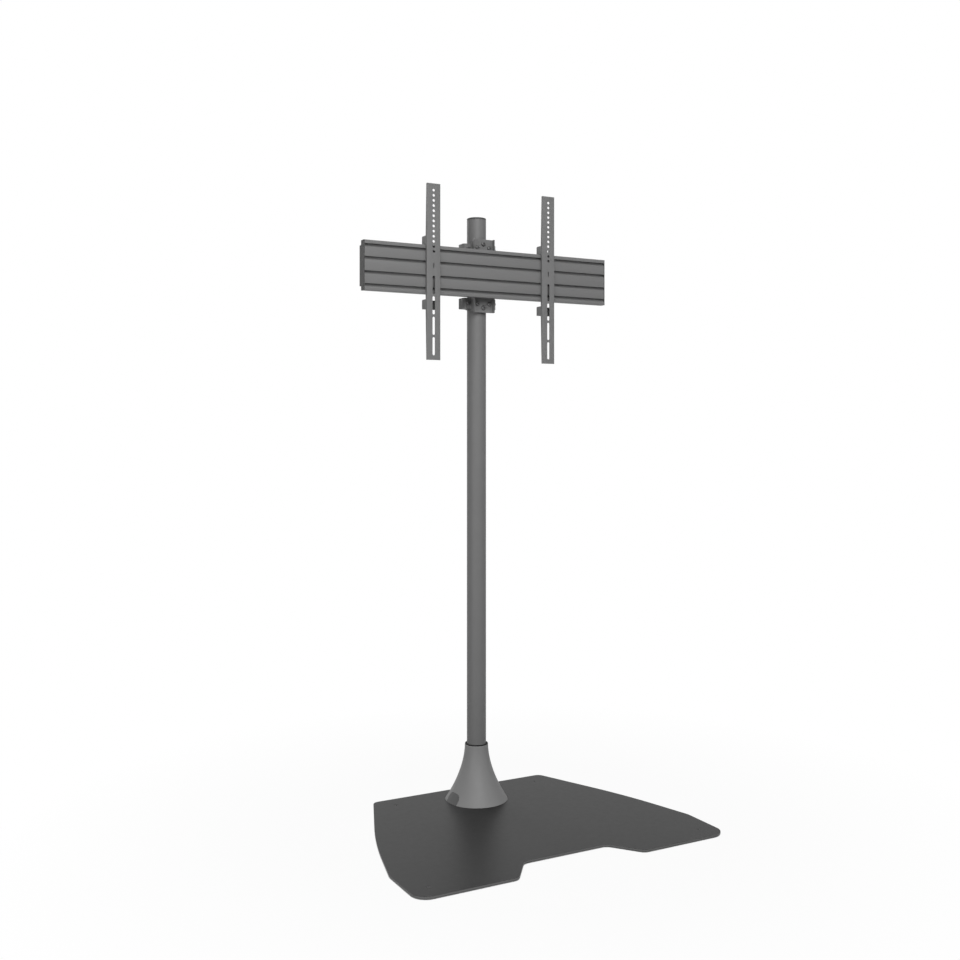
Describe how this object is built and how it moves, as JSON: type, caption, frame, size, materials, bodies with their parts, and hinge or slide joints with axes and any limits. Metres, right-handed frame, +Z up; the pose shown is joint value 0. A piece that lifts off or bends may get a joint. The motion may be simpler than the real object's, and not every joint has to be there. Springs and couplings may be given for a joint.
{
  "type": "screen floor stand",
  "caption": "Floor stand for a flat screen: a flat plate, a round pole with a flared cover, and a clamped rail with two hooked screen arms.",
  "frame": {"origin": "middle of the floor plate's outline, on the floor", "axes": "+Z up, +X to the right of someone who looks at the screen, -Y the way the screen faces"},
  "size_m": [0.98, 0.725, 1.895],
  "materials": {
    "plate_coat": "satin dark grey powder coat",
    "pole_coat": "satin grey powder coat",
    "cover_coat": "satin grey powder coat",
    "rail_coat": "satin dark grey powder coat on aluminium",
    "mount_coat": "satin dark grey powder coat",
    "black_steel": "black oxide",
    "cap_plastic": "fine matt",
    "rubber": "matt"
  },
  "bodies": {
    "stand": {"base_plate": "plate_coat", "pole_flange": "plate_coat", "pole": "pole_coat", "pole_cap": "cap_plastic", "floor_pad_front_left": "rubber", "floor_pad_front_right": "rubber", "floor_pad_back_left": "rubber", "floor_pad_back_right": "rubber", "flange_bolt_1": "black_steel", "flange_bolt_2": "black_steel", "flange_bolt_3": "black_steel", "flange_bolt_4": "black_steel", "pole_screw_1": "black_steel", "pole_screw_2": "black_steel"},
    "cover": {"cone_cover": "cover_coat", "cable_outlet_cover": "cover_coat", "cover_collar": "rubber"},
    "mount": {"mount_bracket": "mount_coat", "rail": "rail_coat", "rail_end_cap_left": "cap_plastic", "rail_end_cap_right": "cap_plastic", "upper_front_jaw": "mount_coat", "upper_rear_jaw": "mount_coat", "upper_set_screw": "black_steel", "upper_left_clamp_bolt": "black_steel", "upper_left_clamp_nut": "black_steel", "upper_left_jaw_screw": "black_steel", "upper_left_rail_bolt": "black_steel", "upper_left_rail_nut": "black_steel", "upper_right_clamp_bolt": "black_steel", "upper_right_clamp_nut": "black_steel", "upper_right_jaw_screw": "black_steel", "upper_right_rail_bolt": "black_steel", "upper_right_rail_nut": "black_steel", "lower_front_jaw": "mount_coat", "lower_rear_jaw": "mount_coat", "lower_set_screw": "black_steel", "lower_left_clamp_bolt": "black_steel", "lower_left_clamp_nut": "black_steel", "lower_left_jaw_screw": "black_steel", "lower_left_rail_bolt": "black_steel", "lower_left_rail_nut": "black_steel", "lower_right_clamp_bolt": "black_steel", "lower_right_clamp_nut": "black_steel", "lower_right_jaw_screw": "black_steel", "lower_right_rail_bolt": "black_steel", "lower_right_rail_nut": "black_steel"},
    "left_arm": {"left_arm": "mount_coat", "left_lock_block": "mount_coat"},
    "left_lock": {"left_lock_screw": "black_steel"},
    "right_arm": {"right_arm": "mount_coat", "right_lock_block": "mount_coat"},
    "right_lock": {"right_lock_screw": "black_steel"},
    "leveller_front_left": {"levelling_screw_front_left": "black_steel"},
    "leveller_front_right": {"levelling_screw_front_right": "black_steel"},
    "leveller_back_left": {"levelling_screw_back_left": "black_steel"},
    "leveller_back_right": {"levelling_screw_back_right": "black_steel"}
  },
  "joints": [
    {"name": "mount_height", "type": "slide", "parent": "stand", "child": "mount", "axis": [0, 0, 1], "range_m": [-0.95, 0.06]},
    {"name": "left_arm_slide", "type": "slide", "parent": "mount", "child": "left_arm", "axis": [1, 0, 0], "range_m": [-0.19, 0.14]},
    {"name": "right_arm_slide", "type": "slide", "parent": "mount", "child": "right_arm", "axis": [1, 0, 0], "range_m": [-0.14, 0.19]},
    {"name": "left_lock_slide", "type": "slide", "parent": "left_arm", "child": "left_lock", "axis": [0, 0, -1], "range_m": [0, 0.014]},
    {"name": "right_lock_slide", "type": "slide", "parent": "right_arm", "child": "right_lock", "axis": [0, 0, -1], "range_m": [0, 0.014]},
    {"name": "cover_lift", "type": "slide", "parent": "stand", "child": "cover", "axis": [0, 0, 1], "range_m": [0, 0.25]},
    {"name": "leveller_front_left_travel", "type": "slide", "parent": "stand", "child": "leveller_front_left", "axis": [0, 0, -1], "range_m": [0, 0.004]},
    {"name": "leveller_front_right_travel", "type": "slide", "parent": "stand", "child": "leveller_front_right", "axis": [0, 0, -1], "range_m": [0, 0.004]},
    {"name": "leveller_back_left_travel", "type": "slide", "parent": "stand", "child": "leveller_back_left", "axis": [0, 0, -1], "range_m": [0, 0.004]},
    {"name": "leveller_back_right_travel", "type": "slide", "parent": "stand", "child": "leveller_back_right", "axis": [0, 0, -1], "range_m": [0, 0.004]}
  ]
}
